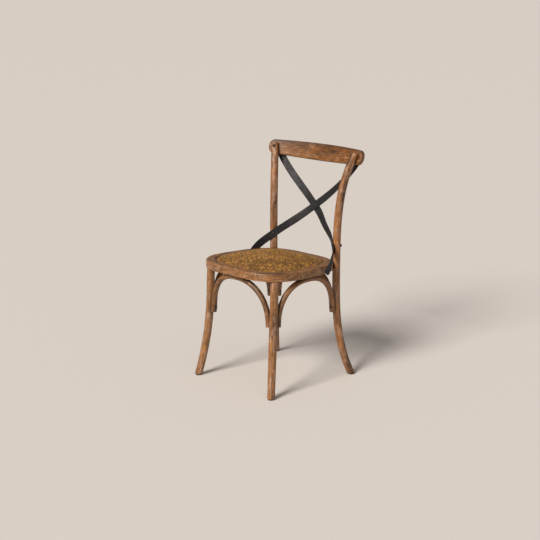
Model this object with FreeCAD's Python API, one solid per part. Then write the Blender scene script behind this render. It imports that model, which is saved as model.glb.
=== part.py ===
# Cross back chair: a bentwood dining chair with two flat steel bars crossed behind the sitter.
# Sizes are in millimetres. The floor is z = 0, the sitter faces -Y and +X is the right of the front view.
# Plan positions are measured from the middle of the seat until the last step, which moves the origin
# to the middle of the whole chair's box, on the floor.
import FreeCAD, Part
import os
from math import ceil, cos, hypot, pi, radians, sin, sqrt

V = FreeCAD.Vector
UP = V(0, 0, 1)

# Seat ring: its outline is a circle with four gentle swells, which make a rounded square
RING_MEAN_RADIUS = 226.3
RING_FRONT_SWELL = 7.0
RING_SIDE_SWELL = 4.1
RING_FRONT_CORNER_SWELL = 2.6
RING_CORNER_SWELL = 14.2
RING_HEIGHT = 30.0
RING_BAND = 36.0
RING_TOP_ROUND = 6.0
RING_EDGE_ROUND = 2.0
LEDGE_WIDTH = 12.0
LEDGE_HEIGHT = 13.0
SEAT_UNDERSIDE = 427.9
SEAT_SLOPE = 1.6

# Seat panel: board, padding and woven skin, which drops into the ring
PANEL_GAP = 0.8
BOARD_THICKNESS = 9.0
SKIN_THICKNESS = 2.0
DOME_EDGE_DROP = 3.5
DOME_CROWN = 27.0
DOME_FULLNESS = 2.8
DOME_FLAT_SHARE = 0.03

# Front legs
LEG_RADIUS = 15.2
LEG_FOOT_RADIUS = 14.2
LEG_ANGLE = 41.2
LEG_INSET = 2.6
LEG_RAKE = 2.5
LEG_SPLAY = 28.4
LEG_BEND_HEIGHT = 320.0
LEG_BEND_POWER = 2.0
TENON_RADIUS = 10.0
TENON_LENGTH = 20.0

# Back posts
POST_RADIUS = 15.0
POST_FOOT_RADIUS = 14.2
POST_TOP_RADIUS = 14.0
POST_ANGLE = 46.8
POST_HOUSING = 1.0
POST_HEIGHT = 862.0
POST_FOOT_SPREAD = 39.4
POST_FOOT_REACH = 51.7
POST_SPREAD_HEIGHT = 350.0
POST_REACH_HEIGHT = 450.0
POST_FOOT_POWER = 2.9
POST_TOP_SPREAD = 43.8
POST_TOP_REACH = 49.8
POST_TOP_START = 360.0
POST_LEAN_START = 450.0
POST_SPREAD_POWER = 4.0
POST_LEAN_POWER = 3.05
TAPER_HEIGHT = 160.0
END_ROUND = 2.5

# Crest rail
RAIL_HALF_LENGTH = 245.0
RAIL_HEIGHT = 66.0
RAIL_CROWN = 12.0
RAIL_THICKNESS = 20.0
RAIL_BOW_RADIUS = 751.0
RAIL_END_RADIUS = 26.0
RAIL_ROUND = 5.0
RAIL_LEAN = 16.8
RAIL_DROP = 18.7
RAIL_SET_BACK = 265.4

# Arches under the seat
ARCH_RADIUS = 10.5
ARCH_END_HEIGHT = 257.5
ARCH_SEATING = 0.6
ARCH_FULLNESS = 2.28
FRONT_ARCH_INSET = 30.5
SIDE_ARCH_INSET = 22.5
BACK_ARCH_INSET = 18.0

# Crossed steel bars
STRAP_WIDTH = 29.0
STRAP_THICKNESS = 3.0
STRAP_TOP_REACH = 212.8
STRAP_TOP_DROP = 10.0
STRAP_TOP_TWIST = 2.0
STRAP_ARM_TURN = 7.0
STRAP_EDGE_REACH = 194.8
CROSS_HEIGHT = 636.0
CROSS_SET_BACK = 238.5
CROSS_LEAN = 14.9
CROSS_SLOPE = 38.3
CROSS_FLAT = 24.0
STRAP_SPRING = 6.0
STRAP_BOLT_HEIGHT = 512.0
STRAP_BOLT_TURN = 40.0
STRAP_BOLT_SLOPE = 36.0
STRAP_BOLT_FLAT = 20.0
STRAP_SEATING = 1.2
STRAP_LANDING_ANGLE = 28.6
STRAP_FOOT_ANGLE = 24.2
STRAP_FOOT_RISE = 8.0

# Fasteners: shank radius, head radius and head height of each kind
CREST_SCREW = {"shank": 2.6, "head": 5.8, "dome": 3.5, "length": 36.0}
STRAP_TOP_SCREW = {"shank": 2.2, "head": 5.0, "dome": 2.4, "length": 17.0}
RIVET = {"shank": 2.8, "head": 6.0, "dome": 2.6}
STRAP_BOLT = {"shank": 3.0, "head": 6.5, "dome": 3.2}
STRAP_FOOT_SCREW = {"shank": 2.2, "head": 5.0, "dome": 2.4, "length": 24.0}
ARCH_SCREW = {"shank": 2.2, "head": 4.5, "dome": 2.2, "bite": 12.0}
BOARD_SCREW = {"shank": 1.9, "head": 4.0, "dome": 1.8, "bite": 6.0}
POST_BOLT = {"shank": 3.0, "head": 6.0, "sink": 2.5, "thickness": 2.5}
NUT_RADIUS = 6.5
NUT_HEIGHT = 6.0
POST_NUT_RADIUS = 5.2
POST_NUT_HEIGHT = 4.5
WASHER_RADIUS = 6.2
WASHER_THICKNESS = 1.2
CREST_SCREW_DROP = 8.6
CREST_SCREW_TURN = 30.0
ARCH_SCREW_RISE = 20.0
POST_BOLT_RISE = 6.6
SPOT_FACE = 0.9
SLOT_WIDTH = 1.1
SLOT_DEPTH = 1.0

# Foot glides
GLIDE_RADIUS = 11.5
GLIDE_HEIGHT = 3.0
NAIL_RADIUS = 1.5
NAIL_LENGTH = 14.0

# Clearances
FIT_GAP = 0.25
HOLE_GAP = 0.2


# The seat ring's outline, and everything that follows it
def ring_radius(angle):
    swell = -RING_FRONT_SWELL * sin(angle) + RING_SIDE_SWELL * cos(2 * angle)
    corners = -RING_FRONT_CORNER_SWELL * sin(3 * angle) - RING_CORNER_SWELL * cos(4 * angle)
    return RING_MEAN_RADIUS + swell + corners


def ring_normal(angle):
    """Unit vector that points straight out of the ring's side."""
    step = 0.001
    radius = ring_radius(angle)
    slope = (ring_radius(angle + step) - ring_radius(angle - step)) / (2 * step)
    out = V(radius * cos(angle) + slope * sin(angle), radius * sin(angle) - slope * cos(angle), 0)
    return out.normalize()


def ring_point(angle, inset, height=0.0, share=1.0):
    """Point inside the outline by the inset, in the seat's own level frame."""
    edge = V(ring_radius(angle) * cos(angle), ring_radius(angle) * sin(angle), 0)
    return (edge - ring_normal(angle) * inset) * share + UP * height


def ring_wire(inset, height, share=1.0):
    count = 24
    points = [ring_point(2 * pi * i / count, inset, height, share) for i in range(count)]
    curve = Part.BSplineCurve()
    curve.interpolate(Points=points, PeriodicFlag=True)
    return Part.Wire([curve.toShape()])


def ring_block(inset, low, high):
    return Part.Face(ring_wire(inset, low)).extrude(UP * (high - low))


SEAT_PLACE = FreeCAD.Placement(V(0, 0, SEAT_UNDERSIDE), FreeCAD.Rotation(V(1, 0, 0), -SEAT_SLOPE))


def on_seat(shape):
    """The shape, moved from the seat's level frame to its place in the chair."""
    placed = shape.copy()
    placed.Placement = SEAT_PLACE.multiply(placed.Placement)
    return placed


def underside(x, y):
    """Height of the ring's underside above the floor."""
    return SEAT_UNDERSIDE - y * sin(radians(SEAT_SLOPE)) / cos(radians(SEAT_SLOPE))


# Centrelines of the legs and posts: plan position at a height, on the +X side
def leg_centre(z, side=1):
    top = ring_point(-radians(LEG_ANGLE), LEG_RADIUS + LEG_INSET)
    below = underside(top.x, top.y) - z
    bend = LEG_SPLAY * max(0.0, 1 - z / LEG_BEND_HEIGHT) ** LEG_BEND_POWER
    rake = below * sin(radians(LEG_RAKE)) / cos(radians(LEG_RAKE))
    return V(side * (top.x + bend), top.y - rake - bend, z)


def post_centre(z, side=1):
    corner = ring_point(radians(POST_ANGLE), POST_HOUSING - POST_RADIUS)
    foot_x = POST_FOOT_SPREAD * max(0.0, 1 - z / POST_SPREAD_HEIGHT) ** POST_FOOT_POWER
    foot_y = POST_FOOT_REACH * max(0.0, 1 - z / POST_REACH_HEIGHT) ** POST_FOOT_POWER
    high_x = max(0.0, (z - POST_TOP_START) / (POST_HEIGHT - POST_TOP_START))
    high_y = max(0.0, (z - POST_LEAN_START) / (POST_HEIGHT - POST_LEAN_START))
    x = corner.x + foot_x + POST_TOP_SPREAD * high_x ** POST_SPREAD_POWER
    y = corner.y + foot_y + POST_TOP_REACH * high_y ** POST_LEAN_POWER
    return V(side * x, y, z)


def leg_radius(z):
    return LEG_RADIUS - (LEG_RADIUS - LEG_FOOT_RADIUS) * max(0.0, 1 - z / TAPER_HEIGHT)


def post_radius(z):
    foot = (POST_RADIUS - POST_FOOT_RADIUS) * max(0.0, 1 - z / TAPER_HEIGHT)
    top = (POST_RADIUS - POST_TOP_RADIUS) * max(0.0, 1 - (POST_HEIGHT - z) / TAPER_HEIGHT)
    return POST_RADIUS - foot - top


# Bent round members
def bent_rod(points, radii, sideways):
    """A round rod along the points; sideways is never parallel to it and keeps its seam straight."""
    sections = []
    for i, point in enumerate(points):
        ahead = points[min(i + 1, len(points) - 1)]
        behind = points[max(i - 1, 0)]
        turn = FreeCAD.Rotation(sideways, V(0, 0, 0), ahead - behind, "ZXY")
        circle = Part.Wire([Part.Circle(V(0, 0, 0), UP, radii[i]).toShape()])
        circle.Placement = FreeCAD.Placement(point, turn)
        sections.append(circle)
    return Part.makeLoft(sections, True, False)


def heights(low, high, step):
    count = ceil((high - low) / step)
    return [low + (high - low) * i / count for i in range(count + 1)]


def half_space(low, high):
    """A slab much wider than the chair, between two heights."""
    reach = 4 * RAIL_HALF_LENGTH
    return Part.makeBox(2 * reach, 2 * reach, high - low, V(-reach, -reach, low))


def rounded_end(shape, height_of_end, size):
    """Rounds the rim of a flat end that lies near the given height."""
    rim = []
    for face in shape.Faces:
        if isinstance(face.Surface, Part.Plane) and abs(face.CenterOfMass.z - height_of_end) < size:
            rim.extend(face.Edges)
    return shape.makeFillet(size, rim)


def level_edges(shape, height):
    """Closed edges at one height, the longest first."""
    found = []
    for edge in shape.Edges:
        box = edge.BoundBox
        if abs(box.ZMin - height) < 0.01 and abs(box.ZMax - height) < 0.01:
            found.append(edge)
    return sorted(found, key=lambda edge: -edge.Length)


def cylinder(radius, start, direction, length):
    return Part.makeCylinder(radius, length, start, direction)


# Fasteners
def dome(radius, height, seat, out):
    """A round head: the cap of a ball, with its flat side on the seat."""
    ball = (radius ** 2 + height ** 2) / (2 * height)
    cap = Part.makeSphere(ball, seat - out * (ball - height), out)
    return cap.common(cylinder(2 * radius, seat, out, 2 * radius))


def slot(radius, height, seat, out):
    """The cutter for a screwdriver slot across a round head."""
    bar = Part.makeBox(2 * radius, SLOT_WIDTH, height, V(-radius, -SLOT_WIDTH / 2, height - SLOT_DEPTH))
    bar.Placement = FreeCAD.Placement(seat, FreeCAD.Rotation(UP, out))
    return bar


def screw(kind, seat, out, length, slotted=True):
    """A domed screw whose head sits on the seat and faces out; its shank goes the other way."""
    head = dome(kind["head"], kind["dome"], seat, out)
    if slotted:
        head = head.cut(slot(kind["head"], kind["dome"], seat, out))
    return head.fuse(cylinder(kind["shank"], seat, -out, length)).removeSplitter()


def hole(kind, seat, out, length):
    return cylinder(kind["shank"] + HOLE_GAP, seat, -out, length)


def spot_face(kind, seat, out):
    """Clears the wood above a seat, so that the head lies flat on a round member."""
    return cylinder(kind["head"] + HOLE_GAP, seat, out, 2 * kind["head"])


def dome_nut(seat, out, shank):
    """A hexagon nut with a domed cap, bored for its bolt."""
    across = NUT_RADIUS
    corners = [V(across * cos(k * pi / 3), across * sin(k * pi / 3), 0) for k in range(7)]
    hexagon = Part.Face(Part.makePolygon(corners)).extrude(UP * NUT_HEIGHT / 2)
    cap_radius = across * cos(pi / 6)
    cap = dome(cap_radius, NUT_HEIGHT / 2, V(0, 0, NUT_HEIGHT / 2), UP)
    bore = cylinder(shank + HOLE_GAP / 2, V(0, 0, 0), UP, NUT_HEIGHT * 0.6)
    nut = hexagon.fuse(cap).removeSplitter().cut(bore)
    nut.Placement = FreeCAD.Placement(seat, FreeCAD.Rotation(UP, out))
    return nut


# Crest rail, built upright and bowed, then leaned back. Its middle keeps its drop below the post tops
rail_middle = V(0, RAIL_SET_BACK, POST_HEIGHT - RAIL_DROP)
RAIL_PLACE = FreeCAD.Placement(rail_middle, FreeCAD.Rotation(V(1, 0, 0), -RAIL_LEAN))


def rail_band(front, back, tall):
    """The bowed slab between two depths behind the rail's front face."""
    centre = V(0, -RAIL_BOW_RADIUS, -tall / 2)
    outside = Part.makeCylinder(RAIL_BOW_RADIUS + back, tall, centre)
    return outside.cut(Part.makeCylinder(RAIL_BOW_RADIUS + front, tall, centre))


def make_crest_rail():
    depth = 3 * RAIL_END_RADIUS + RAIL_THICKNESS
    front = RAIL_THICKNESS - depth
    high = RAIL_HEIGHT / 2 - RAIL_CROWN
    corners = []
    for x, z in ((-1, high), (-1, -RAIL_HEIGHT / 2), (1, -RAIL_HEIGHT / 2), (1, high)):
        corners.append(V(x * RAIL_HALF_LENGTH, front, z))
    crown = Part.Arc(corners[3], V(0, front, RAIL_HEIGHT / 2), corners[0]).toShape()
    outline = Part.Wire(Part.makePolygon(corners).Edges + [crown])
    plank = Part.Face(outline).extrude(V(0, depth, 0))
    ends = [e for e in plank.Edges if abs(e.tangentAt(e.FirstParameter).y) > 0.99]
    plank = plank.makeFillet(RAIL_END_RADIUS, ends)
    rail = plank.common(rail_band(0, RAIL_THICKNESS, 2 * RAIL_HEIGHT))
    outside = []
    for edge in rail.Edges:
        middle = edge.valueAt((edge.FirstParameter + edge.LastParameter) / 2)
        across = edge.tangentAt((edge.FirstParameter + edge.LastParameter) / 2)
        if abs(across.y) < 0.9 and middle.Length > 0:
            outside.append(edge)
    rail = rail.makeFillet(RAIL_ROUND, outside)
    rail.Placement = RAIL_PLACE
    return rail


def rail_back(x, height):
    """Point on the rail's back face, and the unit vector that points forwards out of the rail there."""
    radius = RAIL_BOW_RADIUS + RAIL_THICKNESS
    y = sqrt(radius ** 2 - x ** 2) - RAIL_BOW_RADIUS
    forward = V(-x, -(y + RAIL_BOW_RADIUS), 0).normalize()
    return RAIL_PLACE.multVec(V(x, y, height)), RAIL_PLACE.Rotation.multVec(forward)


# Steel bars. A bar is made for the side where its foot is; its top is on the other side
def strap_stations(side, layer):
    """Points along the bar's middle, most with the direction that its front face looks in."""
    lift = STRAP_THICKNESS / 2 + FIT_GAP
    stations = []
    slope = (STRAP_TOP_REACH - STRAP_EDGE_REACH) / (RAIL_HEIGHT / 2 - STRAP_TOP_DROP)
    start = -STRAP_TOP_DROP + STRAP_WIDTH / 2 / hypot(slope, 1)
    for height in (start, -STRAP_TOP_DROP, -RAIL_HEIGHT / 2):
        x = -side * (STRAP_EDGE_REACH + slope * (height + RAIL_HEIGHT / 2))
        point, forward = rail_back(x, height)
        stations.append((point - forward * lift, forward))

    # Flat where the bars cross, and flat again where the bar is bolted to the post
    lean = radians(CROSS_LEAN)
    fall = radians(CROSS_SLOPE)
    cross_face = V(0, -cos(lean), sin(lean))
    cross_run = V(side * cos(fall), -sin(fall) * sin(lean), -sin(fall) * cos(lean))
    cross = V(0, CROSS_SET_BACK, CROSS_HEIGHT) + cross_face * layer
    turn = radians(STRAP_BOLT_TURN)
    fall = radians(STRAP_BOLT_SLOPE)
    bolt_face = V(-side * sin(turn), -cos(turn), 0)
    bolt_run = V(side * cos(turn) * cos(fall), -sin(turn) * cos(fall), -sin(fall))
    bolt = post_centre(STRAP_BOLT_HEIGHT, side)
    bolt = bolt + bolt_face * (POST_RADIUS - STRAP_SEATING + FIT_GAP + STRAP_THICKNESS / 2)
    for share in (-1.0, -0.5, 0.0, 0.5, 1.0):
        stations.append((cross + cross_run * (CROSS_FLAT * share), cross_face))
    between = (cross + bolt) / 2 + V(0, STRAP_SPRING, 0)
    stations.append((between, None))
    for share in (-1.0, -0.5, 0.0, 0.5, 1.0):
        stations.append((bolt + bolt_run * (STRAP_BOLT_FLAT * share), bolt_face))

    # Foot on the ring's side
    turn = STRAP_LANDING_ANGLE - STRAP_FOOT_ANGLE
    fall = RING_HEIGHT - STRAP_FOOT_RISE
    length = hypot(radians(turn) * RING_MEAN_RADIUS, fall)
    for share in (0.0, 1.0, 1.0 + STRAP_WIDTH / 2 / length):
        angle = radians(STRAP_LANDING_ANGLE - share * turn)
        place = ring_point(angle, -lift, RING_HEIGHT - share * fall)
        inward = -ring_normal(angle)
        point = SEAT_PLACE.multVec(V(side * place.x, place.y, place.z))
        stations.append((point, V(side * inward.x, inward.y, 0)))
    return stations


def strap_frames(side, layer, count):
    """Evenly spaced middles, face directions and running directions along the bar."""
    stations = strap_stations(side, layer)
    marks = [0.0]
    for before, after in zip(stations, stations[1:]):
        marks.append(marks[-1] + (after[0] - before[0]).Length)
    middle = Part.BSplineCurve()
    middle.interpolate(Points=[s[0] for s in stations], Parameters=marks)
    faced = [i for i, station in enumerate(stations) if station[1]]
    frames = []
    last = 0
    for i in range(count):
        mark = marks[-1] * i / (count - 1)
        while last < len(faced) - 2 and mark > marks[faced[last + 1]]:
            last += 1
        before, after = faced[last], faced[last + 1]
        share = (mark - marks[before]) / (marks[after] - marks[before])
        turn = 0.0
        if before == 2:
            turn = -side * STRAP_ARM_TURN * sin(pi * share) ** 2
            share = share ** STRAP_TOP_TWIST
        run = middle.tangent(mark)[0]
        face = stations[before][1] * (1 - share) + stations[after][1] * share
        face = (face - run * face.dot(run)).normalize()
        face = FreeCAD.Rotation(run, turn).multVec(face)
        frames.append((middle.value(mark), face, run))
    return frames


def strap_blank(side, layer):
    """The bar with square ends."""
    half_width = STRAP_WIDTH / 2
    half_thick = STRAP_THICKNESS / 2
    sections = []
    for point, face, run in strap_frames(side, layer, 44):
        across = run.cross(face)
        corners = []
        for u, v in ((-1, -1), (1, -1), (1, 1), (-1, 1), (-1, -1)):
            corners.append(point + across * (half_width * u) + face * (half_thick * v))
        sections.append(Part.makePolygon(corners))
    return Part.makeLoft(sections, True, False)


def end_trimmer(centre, face, run):
    """Cuts the corners off the end of a bar, so that it is round about the centre."""
    half = STRAP_WIDTH / 2
    block = Part.makeBox(3 * half, 4 * half, 6 * half, V(0, -2 * half, -3 * half))
    block = block.cut(Part.makeCylinder(half, 6 * half, V(0, 0, -3 * half)))
    block.Placement = FreeCAD.Placement(centre, FreeCAD.Rotation(run, V(0, 0, 0), face, "ZXY"))
    return block


def strap_marks(side, layer):
    """Where the bar's own fasteners go: middle, face direction and running direction."""
    frames = strap_frames(side, layer, 400)
    stations = strap_stations(side, layer)
    marks = {}
    for name, index in (("top", 1), ("post", 11), ("foot", 15)):
        place, face = stations[index]
        run = min(frames, key=lambda frame: (frame[0] - place).Length)[2]
        marks[name] = (place, face, run)
    return marks


def strap_seat(side):
    """Cutter for the flat on a post that the bar is bolted to."""
    place, face = strap_stations(side, 0)[11]
    half = STRAP_WIDTH / 2 + FIT_GAP
    fall = radians(STRAP_BOLT_SLOPE)
    run = V(side * cos(radians(STRAP_BOLT_TURN)) * cos(fall),
            -sin(radians(STRAP_BOLT_TURN)) * cos(fall), -sin(fall))
    turn = FreeCAD.Rotation(run, V(0, 0, 0), face, "ZXY")
    block = Part.makeBox(8 * half, 2 * half, 2 * POST_RADIUS, V(-4 * half, -half, 0))
    block.Placement = FreeCAD.Placement(place - face * (STRAP_THICKNESS / 2 + FIT_GAP), turn)
    return block


# Arches
def arch_path(start, end, crown):
    """Points of an arch that stands up from start and end and passes under the crown."""
    count = 18
    middle = (start + end) / 2
    out = V(crown.x - middle.x, crown.y - middle.y, 0)
    rise = crown.z - start.z
    points = []
    for i in range(count + 1):
        turn = -pi / 2 + pi * i / count
        share = abs(sin(turn)) ** (2 / ARCH_FULLNESS) * (1 if turn > 0 else -1)
        lift = abs(cos(turn)) ** (2 / ARCH_FULLNESS)
        plan = middle + (end - start) / 2 * share + out * (1 - share ** 2)
        points.append(V(plan.x, plan.y, start.z + rise * lift))
    return points


nodes = {}


def keep(name, *solids):
    nodes[name] = list(solids)


sides = (("left", -1), ("right", 1))

# Wood: legs and posts
legs = {}
posts = {}
for name, side in sides:
    levels = heights(-GLIDE_HEIGHT * 6, underside(0, -RING_MEAN_RADIUS) + RING_HEIGHT, 60)
    leg = bent_rod([leg_centre(z, side) for z in levels], [leg_radius(z) for z in levels], V(1, 0, 0))
    leg = leg.cut(half_space(-RING_MEAN_RADIUS, GLIDE_HEIGHT))
    leg = leg.cut(on_seat(half_space(0, 2 * RING_HEIGHT)))
    leg = rounded_end(leg, GLIDE_HEIGHT, END_ROUND)
    legs[side] = leg
    levels = heights(-GLIDE_HEIGHT * 6, POST_HEIGHT, 60)
    post = bent_rod([post_centre(z, side) for z in levels], [post_radius(z) for z in levels], V(1, 0, 0))
    post = post.cut(half_space(-RING_MEAN_RADIUS, GLIDE_HEIGHT))
    post = rounded_end(post, GLIDE_HEIGHT, END_ROUND)
    post = rounded_end(post, POST_HEIGHT, END_ROUND)
    posts[side] = post

# Wood: seat ring
ring = ring_block(0, 0, RING_HEIGHT)
ring = ring.cut(ring_block(RING_BAND, LEDGE_HEIGHT, 2 * RING_HEIGHT))
ring = ring.cut(ring_block(RING_BAND + LEDGE_WIDTH, -RING_HEIGHT, 2 * RING_HEIGHT))
ring = ring.makeFillet(RING_TOP_ROUND, [level_edges(ring, RING_HEIGHT)[0]])
ring = ring.makeFillet(RING_EDGE_ROUND, [level_edges(ring, RING_HEIGHT)[-1], level_edges(ring, 0)[0]])
ring = on_seat(ring)

# Wood: crest rail, and the seat it needs on each post
rail = make_crest_rail()
scarf = rail_band(0, 2 * RAIL_THICKNESS, 3 * RAIL_HEIGHT)
scarf.Placement = RAIL_PLACE
scarf = scarf.common(half_space(rail_middle.z - RAIL_HEIGHT, 2 * POST_HEIGHT))

# Steel: bars
layers = {1: -(STRAP_THICKNESS + FIT_GAP) / 2, -1: (STRAP_THICKNESS + FIT_GAP) / 2}
straps = {}
marks = {}
for name, side in sides:
    marks[side] = strap_marks(side, layers[side])
    bar = strap_blank(side, layers[side])
    centre, face, run = marks[side]["top"]
    bar = bar.cut(end_trimmer(centre, face, -run))
    centre, face, run = marks[side]["foot"]
    bar = bar.cut(end_trimmer(centre, face, run))
    straps[side] = bar
    posts[side] = posts[side].cut(scarf).cut(strap_seat(side))

# Housings for the posts, tenons and mortises for the legs
for name, side in sides:
    low = post_centre(SEAT_UNDERSIDE - RING_HEIGHT, side)
    high = post_centre(SEAT_UNDERSIDE + 2 * RING_HEIGHT, side)
    ring = ring.cut(cylinder(POST_RADIUS + FIT_GAP, low, high - low, (high - low).Length))
    seat_axis = SEAT_PLACE.Rotation.multVec(UP)
    top = ring_point(-radians(LEG_ANGLE), LEG_RADIUS + LEG_INSET)
    foot_of_tenon = SEAT_PLACE.multVec(V(side * top.x, top.y, 0))
    start = foot_of_tenon - seat_axis * TENON_RADIUS
    tenon = cylinder(TENON_RADIUS, start, seat_axis, TENON_RADIUS + TENON_LENGTH)
    legs[side] = legs[side].fuse(tenon)
    mortise = cylinder(TENON_RADIUS + FIT_GAP / 2, foot_of_tenon - seat_axis, seat_axis,
                       1 + TENON_LENGTH + FIT_GAP)
    ring = ring.cut(mortise)

# Wood: arches
end_z = ARCH_END_HEIGHT
reach_leg = leg_radius(end_z) + ARCH_RADIUS - ARCH_SEATING
reach_post = post_radius(end_z) + ARCH_RADIUS - ARCH_SEATING
crowns = {}
for name, angle, inset in (("front", -90, FRONT_ARCH_INSET), ("right", 0, SIDE_ARCH_INSET),
                           ("back", 90, BACK_ARCH_INSET), ("left", 180, SIDE_ARCH_INSET)):
    plan = ring_point(radians(angle), inset)
    crowns[name] = V(plan.x, plan.y, underside(plan.x, plan.y) - ARCH_RADIUS + FIT_GAP)
arch_ends = {
    "front": (leg_centre(end_z, -1) + V(reach_leg, 0, 0), leg_centre(end_z, 1) - V(reach_leg, 0, 0)),
    "back": (post_centre(end_z, -1) + V(reach_post, 0, 0), post_centre(end_z, 1) - V(reach_post, 0, 0)),
    "left": (leg_centre(end_z, -1) + V(0, reach_leg, 0), post_centre(end_z, -1) - V(0, reach_post, 0)),
    "right": (leg_centre(end_z, 1) + V(0, reach_leg, 0), post_centre(end_z, 1) - V(0, reach_post, 0)),
}
arches = {}
for name, (start, end) in arch_ends.items():
    path = arch_path(start, end, crowns[name])
    outward = V(crowns[name].x, crowns[name].y, 0)
    rod = bent_rod(path, [ARCH_RADIUS] * len(path), outward)
    rod = rod.cut(on_seat(half_space(0, 2 * RING_HEIGHT)))
    for side in (-1, 1):
        rod = rod.cut(legs[side]).cut(posts[side])
    arches[name] = rod

# Fasteners of the arches
arch_end_screws = []
arch_top_screws = []
for name, (start, end) in arch_ends.items():
    for place, other in ((start, end), (end, start)):
        out = (other - place).normalize()
        seat = place + UP * ARCH_SCREW_RISE + out * (ARCH_RADIUS - SPOT_FACE)
        length = 2 * ARCH_RADIUS - SPOT_FACE - ARCH_SEATING + ARCH_SCREW["bite"]
        arch_end_screws.append(screw(ARCH_SCREW, seat, out, length))
        drill = hole(ARCH_SCREW, seat, out, length + HOLE_GAP)
        arches[name] = arches[name].cut(drill).cut(spot_face(ARCH_SCREW, seat, out))
        for side in (-1, 1):
            legs[side] = legs[side].cut(drill)
            posts[side] = posts[side].cut(drill)
    seat = crowns[name] - UP * (ARCH_RADIUS - SPOT_FACE)
    length = 2 * ARCH_RADIUS - SPOT_FACE + ARCH_SCREW["bite"]
    arch_top_screws.append(screw(ARCH_SCREW, seat, -UP, length))
    drill = hole(ARCH_SCREW, seat, -UP, length + HOLE_GAP)
    arches[name] = arches[name].cut(drill).cut(spot_face(ARCH_SCREW, seat, -UP))
    ring = ring.cut(drill)

# Fasteners of the bars, posts and rail
crest_screws = []
strap_top_screws = []
strap_post_bolts = []
strap_post_nuts = []
strap_foot_screws = []
post_bolts = []
post_washers = []
post_nuts = []
for name, side in sides:
    # Domed screw through the post's top into the crest rail
    height = POST_HEIGHT - CREST_SCREW_DROP
    out = V(-side * sin(radians(CREST_SCREW_TURN)), -cos(radians(CREST_SCREW_TURN)), 0)
    seat = post_centre(height, side) + out * (post_radius(height) - SPOT_FACE)
    crest_screws.append(screw(CREST_SCREW, seat, out, CREST_SCREW["length"], False))
    drill = hole(CREST_SCREW, seat, out, CREST_SCREW["length"] + HOLE_GAP)
    posts[side] = posts[side].cut(drill).cut(spot_face(CREST_SCREW, seat, out))
    rail = rail.cut(drill)

    # Short screw that holds the bar's top to the rail's back
    middle, face, run = marks[side]["top"]
    seat = middle - face * (STRAP_THICKNESS / 2)
    strap_top_screws.append(screw(STRAP_TOP_SCREW, seat, -face, STRAP_TOP_SCREW["length"]))
    drill = hole(STRAP_TOP_SCREW, seat, -face, STRAP_TOP_SCREW["length"] + HOLE_GAP)
    straps[side] = straps[side].cut(drill).cut(spot_face(STRAP_TOP_SCREW, seat, -face))
    rail = rail.cut(drill)

    # Bolt through the bar and the post, with a domed nut behind
    middle, out, run = marks[side]["post"]
    seat = middle + out * (STRAP_THICKNESS / 2)
    depth = STRAP_THICKNESS + FIT_GAP + 2 * POST_RADIUS - STRAP_SEATING - SPOT_FACE
    length = depth + NUT_HEIGHT / 2
    strap_post_bolts.append(screw(STRAP_BOLT, seat, out, length, False))
    strap_post_nuts.append(dome_nut(seat - out * depth, -out, STRAP_BOLT["shank"]))
    drill = hole(STRAP_BOLT, seat, out, depth + NUT_RADIUS)
    straps[side] = straps[side].cut(drill).cut(spot_face(STRAP_BOLT, seat, out))
    clear = cylinder(NUT_RADIUS + HOLE_GAP, seat - out * depth, -out, 2 * NUT_HEIGHT)
    posts[side] = posts[side].cut(drill).cut(clear)

    # Screw that holds the bar's foot to the ring's side
    middle, face, run = marks[side]["foot"]
    seat = middle - face * (STRAP_THICKNESS / 2)
    strap_foot_screws.append(screw(STRAP_FOOT_SCREW, seat, -face, STRAP_FOOT_SCREW["length"]))
    drill = hole(STRAP_FOOT_SCREW, seat, -face, STRAP_FOOT_SCREW["length"] + HOLE_GAP)
    straps[side] = straps[side].cut(drill).cut(spot_face(STRAP_FOOT_SCREW, seat, -face))
    ring = ring.cut(drill)

    # Bolt through the post and the ring, flush outside, with its nut under the seat panel
    normal = ring_normal(radians(POST_ANGLE))
    face_point = ring_point(radians(POST_ANGLE), RING_BAND + LEDGE_WIDTH, POST_BOLT_RISE)
    inner = SEAT_PLACE.multVec(V(side * face_point.x, face_point.y, face_point.z))
    out = V(side * normal.x, normal.y, 0)
    axis_gap = (post_centre(inner.z, side) - inner).dot(out)
    seat = inner + out * (axis_gap + POST_RADIUS - POST_BOLT["sink"])
    head = cylinder(POST_BOLT["head"], seat, out, POST_BOLT["thickness"] - SPOT_FACE)
    recess = cylinder(POST_BOLT["head"] + HOLE_GAP, seat, out, 4 * POST_BOLT["sink"])
    length = (seat - inner).Length + WASHER_THICKNESS + POST_NUT_HEIGHT
    shank = cylinder(POST_BOLT["shank"], seat, -out, length)
    post_bolts.append(head.fuse(shank).removeSplitter())
    drill = hole(POST_BOLT, seat, out, length + HOLE_GAP)
    posts[side] = posts[side].cut(drill).cut(recess)
    ring = ring.cut(drill)
    flat = cylinder(WASHER_RADIUS + HOLE_GAP, inner + out * SPOT_FACE, -out, 2 * POST_NUT_HEIGHT)
    ring = ring.cut(flat)
    washer_seat = inner + out * SPOT_FACE
    washer = cylinder(WASHER_RADIUS, washer_seat, -out, WASHER_THICKNESS)
    post_washers.append(washer.cut(hole(POST_BOLT, seat, out, length + HOLE_GAP)))
    nut_seat = washer_seat - out * WASHER_THICKNESS
    corners = []
    for k in range(7):
        corners.append(V(POST_NUT_RADIUS * cos(k * pi / 3), POST_NUT_RADIUS * sin(k * pi / 3), 0))
    nut = Part.Face(Part.makePolygon(corners)).extrude(UP * POST_NUT_HEIGHT)
    nut.Placement = FreeCAD.Placement(nut_seat, FreeCAD.Rotation(UP, -out))
    post_nuts.append(nut.cut(hole(POST_BOLT, seat, out, length + HOLE_GAP)))

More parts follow.
